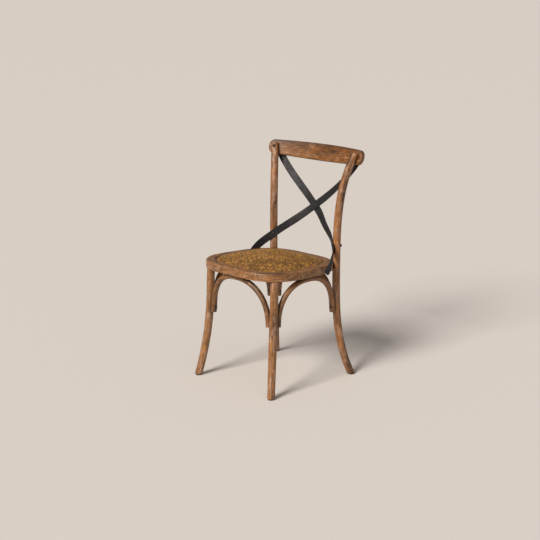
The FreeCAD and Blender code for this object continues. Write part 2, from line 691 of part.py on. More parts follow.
# Rivet through both bars where they cross
face = V(0, -cos(radians(CROSS_LEAN)), sin(radians(CROSS_LEAN)))
middle = V(0, CROSS_SET_BACK, CROSS_HEIGHT)
stack = 2 * STRAP_THICKNESS + FIT_GAP
front_seat = middle + face * (stack / 2)
back_seat = middle - face * (stack / 2)
rivet = screw(RIVET, front_seat, face, stack, False)
rivet = rivet.fuse(dome(RIVET["head"], RIVET["dome"], back_seat, -face)).removeSplitter()
drill = cylinder(RIVET["shank"] + HOLE_GAP, front_seat + face * STRAP_THICKNESS, -face,
                 stack + 2 * STRAP_THICKNESS)
for name, side in sides:
    straps[side] = straps[side].cut(drill)
straps[-1] = straps[-1].cut(spot_face(RIVET, front_seat, face))
straps[1] = straps[1].cut(spot_face(RIVET, back_seat, -face))

# Seat panel
board_inset = RING_BAND + PANEL_GAP + SKIN_THICKNESS
board_low = LEDGE_HEIGHT + FIT_GAP
board_high = board_low + BOARD_THICKNESS


def dome_block(inset, low, shrink):
    """A crowned pad: straight sides to its edge, then a dome that draws in to a small flat crown."""
    edge = RING_HEIGHT - DOME_EDGE_DROP - shrink
    rise = DOME_CROWN + DOME_EDGE_DROP
    wires = []
    for share in (1.0, 0.97, 0.9, 0.78, 0.62, 0.42, 0.2, DOME_FLAT_SHARE):
        height = edge + rise * (1 - share ** DOME_FULLNESS)
        wires.append(ring_wire(inset, height, share))
    crown = Part.makeLoft(wires, True, False)
    return crown.fuse(ring_block(inset, low, edge)).removeSplitter()


skin_inset = RING_BAND + PANEL_GAP
board = on_seat(ring_block(board_inset + FIT_GAP, board_low, board_high))
inside = dome_block(board_inset, board_low - RING_HEIGHT, SKIN_THICKNESS)
skin = on_seat(dome_block(skin_inset, board_low, 0).cut(inside))
padding = on_seat(dome_block(board_inset + FIT_GAP, board_high + FIT_GAP, SKIN_THICKNESS + FIT_GAP))

# Screws from under the ledge into the board
board_screws = []
for k in range(8):
    angle = radians(22.5 + 45 * k)
    place = ring_point(angle, RING_BAND + LEDGE_WIDTH / 2, 0)
    seat = SEAT_PLACE.multVec(place)
    out = SEAT_PLACE.Rotation.multVec(-UP)
    length = board_low + BOARD_SCREW["bite"]
    board_screws.append(screw(BOARD_SCREW, seat, out, length))
    drill = hole(BOARD_SCREW, seat, out, length + HOLE_GAP)
    ring = ring.cut(drill)
    board = board.cut(drill)

# Glides under the feet
glides = []
for side in (-1, 1):
    for centre_of, members in ((leg_centre, legs), (post_centre, posts)):
        foot = centre_of(GLIDE_HEIGHT, side)
        disc = cylinder(GLIDE_RADIUS, V(foot.x, foot.y, 0), UP, GLIDE_HEIGHT)
        nail = cylinder(NAIL_RADIUS, V(foot.x, foot.y, 0), UP, GLIDE_HEIGHT + NAIL_LENGTH)
        glides.append(disc.fuse(nail).removeSplitter())
        drill = cylinder(NAIL_RADIUS + HOLE_GAP / 2, V(foot.x, foot.y, 0), UP,
                         GLIDE_HEIGHT + NAIL_LENGTH + HOLE_GAP)
        members[side] = members[side].cut(drill)

keep("back_post_left", posts[-1])
keep("back_post_right", posts[1])
keep("front_leg_left", legs[-1])
keep("front_leg_right", legs[1])
keep("seat_ring", ring)
keep("crest_rail", rail)
for name, rod in arches.items():
    keep("arch_" + name, rod)
keep("strap_left", straps[1])
keep("strap_right", straps[-1])
keep("cross_rivet", rivet)
keep("seat_board", board)
keep("seat_padding", padding)
keep("woven_seat", skin)
keep("seat_board_screws", *board_screws)
keep("crest_screws", *crest_screws)
keep("strap_top_screws", *strap_top_screws)
keep("strap_post_bolts", *strap_post_bolts)
keep("strap_post_nuts", *strap_post_nuts)
keep("strap_foot_screws", *strap_foot_screws)
keep("post_bolts", *post_bolts)
keep("post_washers", *post_washers)
keep("post_nuts", *post_nuts)
keep("arch_end_screws", *arch_end_screws)
keep("arch_top_screws", *arch_top_screws)
keep("foot_glides", *glides)

# The origin goes to the middle of the chair's box, on the floor
rail_box = rail.optimalBoundingBox(False, False)
leg_box = legs[1].optimalBoundingBox(False, False)
shift = V(0, -(rail_box.YMax + leg_box.YMin) / 2, 0)

os.makedirs("parts", exist_ok=True)
for name, solids in nodes.items():
    group = []
    for shape in solids:
        shape.translate(shift)
        group.extend(shape.Solids)
    shape = group[0] if len(group) == 1 else Part.makeCompound(group)
    shape.exportStep("parts/" + name + ".step")
    box = shape.BoundBox
    print("%-20s %2d solids  volume %9.0f  x %7.1f %7.1f  y %7.1f %7.1f  z %6.1f %6.1f  %s" % (
        name, len(group), shape.Volume, box.XMin, box.XMax, box.YMin, box.YMax, box.ZMin, box.ZMax,
        "valid" if shape.isValid() else "NOT VALID"))
print("origin shift from the seat's middle: %.3f" % shift.y)
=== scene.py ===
# %% [markdown]
# # A cross back chair, dressed in Blender
# The solids of this chair come from a CAD frame: bentwood legs and posts, a seat ring, a bowed
# crest rail, four arches and two crossed steel bars. This lesson keeps every one of those shapes
# and gives them real finishes. One piece is made new: the woven seat, because a weave is far too
# fine for the solids. Everything is in metres, with the floor at z = 0 and the sitter facing -Y.

# %% Load the frame
from math import atan2, ceil, cos, hypot, pi, radians, sin

import bmesh
import bpy
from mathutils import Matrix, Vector


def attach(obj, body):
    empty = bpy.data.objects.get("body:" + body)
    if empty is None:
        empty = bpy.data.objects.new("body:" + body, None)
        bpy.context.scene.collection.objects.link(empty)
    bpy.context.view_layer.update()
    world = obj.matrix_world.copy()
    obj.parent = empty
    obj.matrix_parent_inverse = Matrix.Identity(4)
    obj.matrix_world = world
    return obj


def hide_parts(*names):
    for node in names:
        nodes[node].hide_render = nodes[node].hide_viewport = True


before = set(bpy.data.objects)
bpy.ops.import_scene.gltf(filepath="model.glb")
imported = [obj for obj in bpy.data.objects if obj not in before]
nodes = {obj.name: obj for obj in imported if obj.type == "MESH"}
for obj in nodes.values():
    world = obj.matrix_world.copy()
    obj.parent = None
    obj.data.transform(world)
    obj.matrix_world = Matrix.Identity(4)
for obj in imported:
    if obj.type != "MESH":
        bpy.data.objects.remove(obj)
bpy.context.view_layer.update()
bpy.ops.object.select_all(action="DESELECT")

# %% [markdown]
# ## Camera
# The photograph was taken from the chair's front right corner, a little above the seat, with a
# long lens. The place, tilt and lens below were worked out from the four feet, the seat ring and
# the crest rail, so the render can be laid over the photograph piece by piece.

# %% Camera
CAMERA_PLACE = (3.060, -3.0551, 1.4622)
CAMERA_TILT = 13.66
CAMERA_HEADING = 45.487
CAMERA_LENS = 77.61
CAMERA_SENSOR = 36.0

camera_data = bpy.data.cameras.new("studio_camera")
camera_data.lens = CAMERA_LENS
camera_data.sensor_width = CAMERA_SENSOR
camera = bpy.data.objects.new("studio_camera", camera_data)
camera.location = CAMERA_PLACE
camera.rotation_euler = (radians(90 - CAMERA_TILT), 0, radians(CAMERA_HEADING))
bpy.context.scene.collection.objects.link(camera)
bpy.context.scene.camera = camera
print("camera lens:", CAMERA_LENS, "mm")

# %% [markdown]
# ## Two helpers for materials
# Colours are written as the hex values that a paint or photo program shows. Blender's shaders
# want them linear, so one function does that turn. A second function adds a node, sets it up,
# links it and gives back its output, because a material here is a chain of many small nodes.

# %% Helpers for colours and nodes
def linear_colour(code):
    """Linear RGBA of an sRGB hex colour."""
    values = []
    for start in (1, 3, 5):
        level = int(code[start:start + 2], 16) / 255
        values.append(level / 12.92 if level <= 0.04045 else ((level + 0.055) / 1.055) ** 2.4)
    return (*values, 1.0)


def add_node(material, kind, inputs=None, output=0, stops=(), **settings):
    """Adds a node and gives back one output. An input is a value or another node's output."""
    tree = material.node_tree
    node = tree.nodes.new(kind)
    for name, value in settings.items():
        setattr(node, name, value)
    for name, value in (inputs or {}).items():
        if isinstance(value, bpy.types.NodeSocket):
            tree.links.new(value, node.inputs[name])
        else:
            node.inputs[name].default_value = value
    for place, code in stops[1:-1]:
        node.color_ramp.elements.new(place).color = linear_colour(code)
    for end in (0, -1) if stops else ():
        node.color_ramp.elements[end].position = stops[end][0]
        node.color_ramp.elements[end].color = linear_colour(stops[end][1])
    return node.outputs[output] if node.outputs else None


def new_material(name):
    """An empty node material."""
    material = bpy.data.materials.new(name)
    material.use_nodes = True
    material.node_tree.nodes.clear()
    return material


def finish_with(material, *names):
    """Gives CAD nodes one material in place of what they came with."""
    for name in names:
        piece = nodes[name]
        piece.data.materials.clear()
        piece.data.materials.append(material)
        for face in piece.data.polygons:
            face.material_index = 0


print("helpers ready, middle grey is", [round(level, 3) for level in linear_colour("#808080")])

# %% [markdown]
# ## Worn bentwood
# The rods, ring and rail are beech, steamed and bent, then stained mid brown and rubbed back so
# that it looks old. Beech shows fine, short, dark flecks and soft streaks along the member. The
# rubbing leaves three tones side by side: warm orange brown, a greyish pink where the stain is
# gone, and dark brown in the hollows. So the material mixes three colours by slow noise, then
# lays the grain over them. The grain has to run along each bent member, so each family of pieces
# gets its own grain direction, worked out from the same curve that the frame uses.

# %% Grain directions
# Each function gives back a vector whose X runs along the member and whose Y and Z cross it.
MATH = "ShaderNodeMath"


def bend(material, height, reach, start, span, power):
    """How far a member's middle has moved sideways at a height, where it bends from a start."""
    share = add_node(material, MATH, {0: height, 1: start}, operation="SUBTRACT")
    share = add_node(material, MATH, {0: share, 1: span}, operation="DIVIDE")
    share = add_node(material, MATH, {0: share, 1: 0.0}, operation="MAXIMUM")
    share = add_node(material, MATH, {0: share, 1: power}, operation="POWER")
    return add_node(material, MATH, {0: share, 1: reach}, operation="MULTIPLY")


def upright_grain(material, side, bends_x, bends_y):
    """Grain of a leg or post: straight up, carried along with its bends."""
    place = add_node(material, "ShaderNodeTexCoord", output="Object")
    x, y, z = (
        add_node(material, "ShaderNodeSeparateXYZ", {0: place}, output=axis) for axis in "XYZ")
    for reach, start, span, power in bends_x:
        moved = bend(material, z, side * reach, start, span, power)
        x = add_node(material, MATH, {0: x, 1: moved}, operation="SUBTRACT")
    for reach, start, span, power in bends_y:
        moved = bend(material, z, reach, start, span, power)
        y = add_node(material, MATH, {0: y, 1: moved}, operation="SUBTRACT")
    return add_node(material, "ShaderNodeCombineXYZ", {"X": z, "Y": x, "Z": y})


def turned_grain(material, axes, centre, radius):
    """Grain round a centre: the angle times a radius, then the distance, then the third axis."""
    place = add_node(material, "ShaderNodeTexCoord", output="Object")
    across, up, third = (
        add_node(material, "ShaderNodeSeparateXYZ", {0: place}, output=axis) for axis in axes)
    across = add_node(material, MATH, {0: across, 1: centre[0]}, operation="SUBTRACT")
    up = add_node(material, MATH, {0: up, 1: centre[1]}, operation="SUBTRACT")
    angle = add_node(material, MATH, {0: up, 1: across}, operation="ARCTAN2")
    along = add_node(material, MATH, {0: angle, 1: radius}, operation="MULTIPLY")
    flat = add_node(material, "ShaderNodeCombineXYZ", {"X": across, "Y": up})
    distance = add_node(material, "ShaderNodeVectorMath", {0: flat}, output="Value",
                        operation="LENGTH")
    return add_node(material, "ShaderNodeCombineXYZ", {"X": along, "Y": distance, "Z": third})


print("grain directions ready")

# %% [markdown]
# ### One material for every bent piece
# On the chair, all the bentwood went through the same stain and the same rubbing, so one function
# builds it, and each piece only brings its grain, a shift of the pattern, and its own tones. The
# layers are noises stretched along the grain. Painted pictures would need unwrapping and would
# show seams on round rods, which noise in object coordinates never does.

# %% Bentwood material
# Numbers in the grain table are waves per metre along and across the member, then detail and
# roughness. Flecks of beech are about 4 mm long and under 1 mm wide.
GRAIN = {
    "slow": (5.0, 17.0, 2.0, 0.5),
    "patches": (24.0, 60.0, 5.0, 0.62),
    "streaks": (26.0, 210.0, 4.0, 0.62),
    "lines": (38.0, 620.0, 3.0, 0.6),
    "flecks": (170.0, 1100.0, 1.0, 0.5),
    "stains": (120.0, 190.0, 6.0, 0.72),
}
HOLLOW_STAIN = "#63411f"
EDGE_STAIN = "#4a2f1a"
# Colour of the painted shade in the corners between pieces
PAINTED_CORNER_SHADE = "#24150b"


def bentwood(name, grain, material, shift, warm, wear, worn="#b0835a", stained_above=None):
    """Stained, rubbed beech. The grain is a vector made by one of the functions above."""
    grain = add_node(material, "ShaderNodeVectorMath", {0: grain, 1: shift}, operation="ADD")
    noise = {}
    for layer, (along, across, detail, rough) in GRAIN.items():
        scaled = add_node(material, "ShaderNodeMapping", {
            "Vector": grain, "Scale": (along, across, across)})
        noise[layer] = add_node(material, "ShaderNodeTexNoise", {
            "Vector": scaled, "Scale": 1.0, "Detail": detail, "Roughness": rough}, output="Fac")

    # Base tone: dark in the hollows, warm elsewhere, greyish pink where it is rubbed
    tone = add_node(material, "ShaderNodeValToRGB", {"Fac": noise["slow"]},
                    stops=[(0.34, HOLLOW_STAIN), (0.50, warm), (0.66, warm)])
    rubbed = add_node(material, "ShaderNodeMapRange", {
        "Value": noise["patches"], "From Min": 0.60 - 0.2 * wear, "From Max": 0.72 - 0.2 * wear})
    tone = add_node(material, "ShaderNodeMix", {0: rubbed, 6: tone, 7: linear_colour(worn)},
                    output=2, data_type="RGBA")

    # Layers that darken it: streaks, fine lines, flecks, then specks of old stain
    for layer, strength, stops in (
            ("streaks", 0.62, [(0.36, "#6f655d"), (0.50, "#c4beb8"), (0.62, "#ffffff")]),
            ("lines", 0.62, [(0.36, "#7c746c"), (0.50, "#dcd8d4"), (0.66, "#ffffff")]),
            ("flecks", 0.65, [(0.32, "#4a382b"), (0.42, "#ffffff")]),
            ("stains", 0.80, [(0.30, "#35241a"), (0.39, "#d8d0ca"), (0.48, "#ffffff")])):
        shade = add_node(material, "ShaderNodeValToRGB", {"Fac": noise[layer]}, stops=stops)
        tone = add_node(material, "ShaderNodeMix", {0: strength, 6: tone, 7: shade},
                        output=2, data_type="RGBA", blend_type="MULTIPLY")

    # The crest rail's upper edge keeps its dark stain, out of reach of the rubbing
    if stained_above:
        place = add_node(material, "ShaderNodeTexCoord", output="Object")
        height = add_node(material, "ShaderNodeSeparateXYZ", {0: place}, output="Z")
        edge = add_node(material, "ShaderNodeMapRange", {
            "Value": height, "From Min": stained_above, "From Max": stained_above + 0.009,
            "To Min": 0.0, "To Max": 0.72})
        tone = add_node(material, "ShaderNodeMix", {0: edge, 6: tone, 7: linear_colour(EDGE_STAIN)},
                        output=2, data_type="RGBA")

    # Painted shade: darker in the corners between pieces, found by the occlusion node
    open_air = add_node(material, "ShaderNodeAmbientOcclusion", {"Distance": 0.020}, output="AO",
                        samples=8)
    painted_corner_shade = add_node(material, "ShaderNodeMapRange", {
        "Value": open_air, "From Min": 0.2, "From Max": 0.8, "To Min": 0.85, "To Max": 0.0})
    tone = add_node(material, "ShaderNodeMix", {0: painted_corner_shade, 6: tone, 7: linear_colour(PAINTED_CORNER_SHADE)},
                    output=2, data_type="RGBA")

    gloss = add_node(material, "ShaderNodeMapRange", {
        "Value": noise["patches"], "From Min": 0.35, "From Max": 0.7, "To Min": 0.36, "To Max": 0.58})
    relief = add_node(material, MATH, {0: noise["lines"], 1: noise["stains"]}, operation="ADD")
    bump = add_node(material, "ShaderNodeBump", {
        "Height": relief, "Strength": 0.30, "Distance": 0.0008})
    shader = add_node(material, "ShaderNodeBsdfPrincipled", {
        "Base Color": tone, "Roughness": gloss, "Normal": bump, "IOR": 1.5})
    add_node(material, "ShaderNodeOutputMaterial", {"Surface": shader})
    finish_with(material, name)


print("bentwood layers:", ", ".join(GRAIN))

# %% [markdown]
# ### Posts and legs
# A post is one long rod that bends outward and back below the seat, and again above it. A front
# leg sweeps out and forward towards the floor. The grain of a bent rod follows the rod, so the
# tables below repeat the bends of the solids. Straight grain would run out of the side of every
# bend, which is how sawn wood looks, not bent wood.

# %% Wood of the posts and legs
# Each bend is its reach, the height where it starts, its span from there, and its power. The
# first list of a pair is sideways, the second is towards the back.
POST_BENDS = ([(0.0394, 0.350, -0.350, 2.9), (0.0438, 0.360, 0.502, 4.0)],
              [(0.0517, 0.450, -0.450, 2.9), (0.0498, 0.450, 0.412, 3.05)])
LEG_BENDS = ([(0.0284, 0.320, -0.320, 2.0)],
             [(-0.0284, 0.320, -0.320, 2.0)])
POST_TONES = {"warm": "#b67c47", "worn": "#c2977a", "wear": 0.45}
LEG_TONES = {"warm": "#b07a45", "worn": "#bc9476", "wear": 0.6}

for name, side, bends, shift, tones in (
        ("back_post_left", -1, POST_BENDS, (0.13, 0.4, 0.0), POST_TONES),
        ("back_post_right", 1, POST_BENDS, (2.31, 0.0, 0.7), POST_TONES),
        ("front_leg_left", -1, LEG_BENDS, (5.2, 0.1, 0.3), LEG_TONES),
        ("front_leg_right", 1, LEG_BENDS, (7.9, 0.9, 0.2), LEG_TONES)):
    material = new_material("stained_bent_beech_" + name)
    grain = upright_grain(material, side, *bends)
    bentwood(name, grain, material, shift, **tones)
print("posts and legs finished")

# %% [markdown]
# ### Ring, rail and arches
# The ring goes round the seat's middle, the rail is bowed about a point far in front of it, and
# each arch turns about a point between its feet. For these, the angle round that point is the
# way along the grain. It is a little off where an arch runs straight down, which the eye doesn't
# find on a thin rod. The rail's upper edge is out of reach of the rubbing and stays darker.

# %% Wood of the ring, rail and arches
SEAT_MIDDLE_Y = -0.0402
RAIL_SET_BACK = 0.2654
RAIL_BOW_RADIUS = 0.751
RAIL_BOW_CENTRE_Y = RAIL_SET_BACK + SEAT_MIDDLE_Y - RAIL_BOW_RADIUS
RAIL_EDGE_HEIGHT = 0.861
RING_TURN_RADIUS = 0.22
RAIL_TURN_RADIUS = 0.76
ARCH_TURN_HEIGHT = 0.24
ARCH_TURN_RADIUS = 0.15
SIDE_ARCH_MIDDLE_Y = -0.028
ARCH_WARM = "#a5713f"
ARCH_WEAR = 0.4
ACROSS = (0, ARCH_TURN_HEIGHT)
ALONGSIDE = (SIDE_ARCH_MIDDLE_Y, ARCH_TURN_HEIGHT)

# Each row: the piece, its axes, the point and radius it turns with, the shift of its pattern, its
# warm tone and wear, and the height above which it stays stained
for name, axes, centre, radius, shift, warm, wear, stained_above in (
        ("seat_ring", "XYZ", (0, SEAT_MIDDLE_Y), RING_TURN_RADIUS, (1.7, 3.1, 0.4), "#ae7744", 0.75,
         None),
        ("crest_rail", "XYZ", (0, RAIL_BOW_CENTRE_Y), RAIL_TURN_RADIUS, (9.4, 2.2, 0.9), "#98622d", 0.35,
         RAIL_EDGE_HEIGHT),
        ("arch_front", "XZY", ACROSS, ARCH_TURN_RADIUS, (0.9, 0.5, 0.1), ARCH_WARM, ARCH_WEAR, None),
        ("arch_back", "XZY", ACROSS, ARCH_TURN_RADIUS, (3.3, 0.8, 0.6), ARCH_WARM, ARCH_WEAR, None),
        ("arch_left", "YZX", ALONGSIDE, ARCH_TURN_RADIUS, (6.1, 0.3, 0.2), ARCH_WARM, ARCH_WEAR, None),
        ("arch_right", "YZX", ALONGSIDE, ARCH_TURN_RADIUS, (8.2, 0.6, 0.8), ARCH_WARM, ARCH_WEAR, None)):
    material = new_material("stained_bent_beech_" + name)
    grain = turned_grain(material, axes, centre, radius)
    bentwood(name, grain, material, shift, warm=warm, wear=wear, stained_above=stained_above)
print("ring, rail and arches finished")

# %% [markdown]
# ## Blackened steel
# The crossed bars are flat mild steel, blackened and waxed. The finish is nearly black with a
# faint warm grey bloom, rubbed lighter in cloudy patches, and it shines softly. A metal shader
# with a dark colour and a cloudy roughness gives this; a black paint would look dead.

# %% Steel materials
def blackened_steel(name, base, middle, bloom):
    """Dark steel whose cloudy bloom goes from the base colour to the lightest."""
    material = new_material(name)
    place = add_node(material, "ShaderNodeTexCoord", output="Object")
    clouds = add_node(material, "ShaderNodeTexNoise", {
        "Vector": place, "Scale": 38.0, "Detail": 6.0, "Roughness": 0.65}, output="Fac")
    grit = add_node(material, "ShaderNodeTexNoise", {
        "Vector": place, "Scale": 420.0, "Detail": 3.0, "Roughness": 0.6}, output="Fac")
    tone = add_node(material, "ShaderNodeValToRGB", {"Fac": clouds},
                    stops=[(0.36, base), (0.56, middle), (0.74, bloom)])
    speck = add_node(material, "ShaderNodeValToRGB", {"Fac": grit},
                     stops=[(0.32, "#8c8684"), (0.5, "#ffffff")])
    tone = add_node(material, "ShaderNodeMix", {0: 0.5, 6: tone, 7: speck},
                    output=2, data_type="RGBA", blend_type="MULTIPLY")
    rough = add_node(material, "ShaderNodeMapRange", {
        "Value": clouds, "From Min": 0.3, "From Max": 0.7, "To Min": 0.68, "To Max": 0.50})
    relief = add_node(material, MATH, {0: clouds, 1: grit}, operation="ADD")
    bump = add_node(material, "ShaderNodeBump", {
        "Height": relief, "Strength": 0.2, "Distance": 0.0004})
    shader = add_node(material, "ShaderNodeBsdfPrincipled", {
        "Base Color": tone, "Roughness": rough, "Metallic": 0.4, "Normal": bump})
    add_node(material, "ShaderNodeOutputMaterial", {"Surface": shader})
    return material


finish_with(blackened_steel("blackened_mild_steel_bars", "#1a181a", "#262326", "#3a363a"),
            "strap_left", "strap_right")
finish_with(blackened_steel("blackened_steel_fasteners", "#1f1c1c", "#2e2a2a", "#4a4442"),
            "cross_rivet", "crest_screws", "strap_top_screws", "strap_post_bolts", "strap_post_nuts",
            "strap_foot_screws", "arch_end_screws", "arch_top_screws")
print("bars and black fasteners finished")

# %% [markdown]
# ### Plated steel
# The bolts of the posts show only from behind, and the screws of the board only from below.
# Shops use plain zinc-plated ones there: light grey, with a faint spangle of crystals. A fine
# cell pattern makes the spangle. Its two greys lie close together, so it only shows close up.

# %% Plated steel
material = new_material("zinc_plated_steel")
place = add_node(material, "ShaderNodeTexCoord", output="Object")
spangle = add_node(material, "ShaderNodeTexVoronoi", {"Vector": place, "Scale": 900.0}, output="Distance")
tone = add_node(material, "ShaderNodeValToRGB", {"Fac": spangle},
                stops=[(0.0, "#8f9093"), (0.7, "#b4b5b7")])
shader = add_node(material, "ShaderNodeBsdfPrincipled", {
    "Base Color": tone, "Roughness": 0.38, "Metallic": 1.0})
add_node(material, "ShaderNodeOutputMaterial", {"Surface": shader})
finish_with(material, "post_bolts", "post_washers", "post_nuts", "seat_board_screws")
print("plated bolts and screws finished")

# %% [markdown]
# ## Plywood board
# The seat's board is only seen from below. It is birch plywood, sanded and left raw: pale, with
# a faint figure along its face veneer. One noise, stretched along the veneer, gives both the
# figure and a slight relief. More layers would be lost in the shade under the seat.

# %% Plywood
material = new_material("raw_birch_plywood")
place = add_node(material, "ShaderNodeTexCoord", output="Object")
along = add_node(material, "ShaderNodeMapping", {"Vector": place, "Scale": (60.0, 6.0, 60.0)})
figure = add_node(material, "ShaderNodeTexNoise", {
    "Vector": along, "Scale": 1.0, "Detail": 5.0, "Roughness": 0.6}, output="Fac")
tone = add_node(material, "ShaderNodeValToRGB", {"Fac": figure},
                stops=[(0.3, "#9c7b52"), (0.5, "#b89468"), (0.7, "#c9a87d")])
bump = add_node(material, "ShaderNodeBump", {"Height": figure, "Strength": 0.2, "Distance": 0.0005})
shader = add_node(material, "ShaderNodeBsdfPrincipled", {
    "Base Color": tone, "Roughness": 0.75, "Normal": bump})
add_node(material, "ShaderNodeOutputMaterial", {"Surface": shader})
finish_with(material, "seat_board")
print("board finished")

# %% [markdown]
# ## Glides
# The glides are small dark moulded pads under the feet, dulled by the floor. They are only a
# pixel or two high in the picture, so a dark colour with light scuffs is enough, kept rough so
# that they don't catch the light as steel would.

# %% Moulded glides
material = new_material("moulded_nylon_glides")
place = add_node(material, "ShaderNodeTexCoord", output="Object")
scuffs = add_node(material, "ShaderNodeTexNoise", {
    "Vector": place, "Scale": 260.0, "Detail": 4.0, "Roughness": 0.6}, output="Fac")
tone = add_node(material, "ShaderNodeValToRGB", {"Fac": scuffs},
                stops=[(0.4, "#1d1916"), (0.7, "#3a332d")])
bump = add_node(material, "ShaderNodeBump", {"Height": scuffs, "Strength": 0.2, "Distance": 0.0003})
shader = add_node(material, "ShaderNodeBsdfPrincipled", {
    "Base Color": tone, "Roughness": 0.6, "Normal": bump})
add_node(material, "ShaderNodeOutputMaterial", {"Surface": shader})
finish_with(material, "foot_glides")
print("glides finished")

# %% [markdown]
# ## Woven rattan seat
# The seat is a sheet of plain-woven rattan strips, stretched over a domed pad and tucked down
# inside the ring. It could be a smooth dome with a picture of a weave, but at its rim the strips
# catch the light one by one, so the strips are real relief here. A fine grid is laid over the
# seat, each point is lifted by the strip that passes there, over and under its neighbours, and
# the sheet is then trimmed to the ring's outline and turned down at its edge.

# %% Shape of the seat panel
SEAT_UNDERSIDE = 0.4279
SEAT_SLOPE = radians(1.6)
PANEL_INSET = 0.0368
DOME_EDGE = 0.0265
DOME_RISE = 0.0305
DOME_FULLNESS = 2.8
STRIP_PITCH = 0.0068
STRIP_RELIEF = 0.0015
STRIP_ROUNDNESS = 0.9


def ring_radius(angle):
    """Radius of the ring's outside in one direction, by the same waves as in the solid."""
    swell = -0.0070 * sin(angle) + 0.0041 * cos(2 * angle)
    return 0.2263 + swell - 0.0026 * sin(3 * angle) - 0.0142 * cos(4 * angle)


def panel_edge(angle):
    """Distance from the seat's middle to the panel's edge in one direction."""
    step = 0.001
    slope = (ring_radius(angle + step) - ring_radius(angle - step)) / (2 * step)
    return ring_radius(angle) - PANEL_INSET * hypot(1, slope / ring_radius(angle))


def strip_lift(x, y):
    """Height of the upper strip at a point of a plain weave."""
    along_x = x / STRIP_PITCH
    along_y = y / STRIP_PITCH
    column = round(along_x)
    row = round(along_y)
    over = cos(pi * along_y + pi * column)
    under = -cos(pi * along_x + pi * row)
    upright = over + STRIP_ROUNDNESS * cos(pi * (along_x - column)) ** 0.5
    level = under + STRIP_ROUNDNESS * cos(pi * (along_y - row)) ** 0.5
    return STRIP_RELIEF * (max(upright, level) - 1.0)


def seat_height(x, y):
    """Height of the smooth dome under the weave."""
    reach = hypot(x, y) / panel_edge(atan2(y, x))
    return DOME_EDGE + DOME_RISE * (1 - min(reach, 1.0) ** DOME_FULLNESS)


print("seat panel reaches", round(panel_edge(0) * 1000, 1), "mm from its middle to the side")

# %% [markdown]
# ### Weaving
# Five points across each strip are enough to show it as a rounded ridge, and keep the sheet well
# inside what a viewer can carry. The relief fades out just before the rim, because the real strips
# are pulled flat where they go round the edge. The pad is closed below by a flat base, so the
# piece has a volume of its own, as a soft pad needs.

# %% Weave the seat
POINTS_PER_STRIP = 5
SHEET_REACH = 0.20
FLAT_RIM_SHARE = 0.02
RIM_TURNS = ((0.0125, 0.0), (0.0, 0.0019), (-0.0090, 0.0))

STEP = STRIP_PITCH / POINTS_PER_STRIP
half_count = ceil(SHEET_REACH / STEP)
bpy.ops.mesh.primitive_grid_add(x_subdivisions=2 * half_count, y_subdivisions=2 * half_count,
                                size=2 * half_count * STEP, location=(0, 0, 0))
woven = bpy.context.active_object
woven.name = "woven_rattan_seat"
sheet = bmesh.new()
sheet.from_mesh(woven.data)
for point in sheet.verts:
    point.tag = hypot(point.co.x, point.co.y) > panel_edge(atan2(point.co.y, point.co.x))
outside = [face for face in sheet.faces if all(point.tag for point in face.verts)]
bmesh.ops.delete(sheet, geom=outside, context="FACES")
for point in sheet.verts:
    angle = atan2(point.co.y, point.co.x)
    if point.tag:
        point.co.x = panel_edge(angle) * cos(angle)
        point.co.y = panel_edge(angle) * sin(angle)
    x, y = point.co.x, point.co.y
    inside = 1 - hypot(x, y) / panel_edge(atan2(y, x))
    rim = min(1.0, max(0.0, inside / FLAT_RIM_SHARE))
    point.co.z = seat_height(x, y) + strip_lift(x, y) * rim

# The rim turns down inside the ring, in by its thickness and up again, each turn a drop and an
# inset. A flat base then closes the pad over its board.
rim_edges = [edge for edge in sheet.edges if edge.is_boundary]
for drop, inset in RIM_TURNS:
    made = bmesh.ops.extrude_edge_only(sheet, edges=rim_edges)["geom"]
    rim_edges = [item for item in made if isinstance(item, bmesh.types.BMEdge)]
    for point in {point for edge in rim_edges for point in edge.verts}:
        angle = atan2(point.co.y, point.co.x)
        reach = hypot(point.co.x, point.co.y) - inset
        point.co = Vector((reach * cos(angle), reach * sin(angle), point.co.z - drop))
bmesh.ops.holes_fill(sheet, edges=rim_edges, sides=0)
bmesh.ops.recalc_face_normals(sheet, faces=sheet.faces)
for point in sheet.verts:
    x, y, z = point.co
    point.co.y = y * cos(SEAT_SLOPE) + z * sin(SEAT_SLOPE) + SEAT_MIDDLE_Y
    point.co.z = z * cos(SEAT_SLOPE) - y * sin(SEAT_SLOPE) + SEAT_UNDERSIDE
sheet.to_mesh(woven.data)
sheet.free()
for face in woven.data.polygons:
    face.use_smooth = True
print("woven seat faces:", len(woven.data.polygons))

# %% [markdown]
# Rattan peel is glossy on its bark side and takes stain unevenly, so neighbouring crossings
# differ a little. Each crossing's crown gets a golden painted highlight, and painted shade
# blackens the gaps where four strips meet and darkens the groove at the ring.

# %% Rattan material
material = new_material("plain_woven_rattan_peel")
place = add_node(material, "ShaderNodeTexCoord", output="Object")
x, y = (add_node(material, "ShaderNodeSeparateXYZ", {0: place}, output=axis) for axis in "XY")
y = add_node(material, MATH, {0: y, 1: SEAT_MIDDLE_Y}, operation="SUBTRACT")
across = add_node(material, MATH, {0: x, 1: STRIP_PITCH}, operation="DIVIDE")
along = add_node(material, MATH, {0: y, 1: STRIP_PITCH}, operation="DIVIDE")
column = add_node(material, MATH, {0: across}, operation="ROUND")
row = add_node(material, MATH, {0: along}, operation="ROUND")

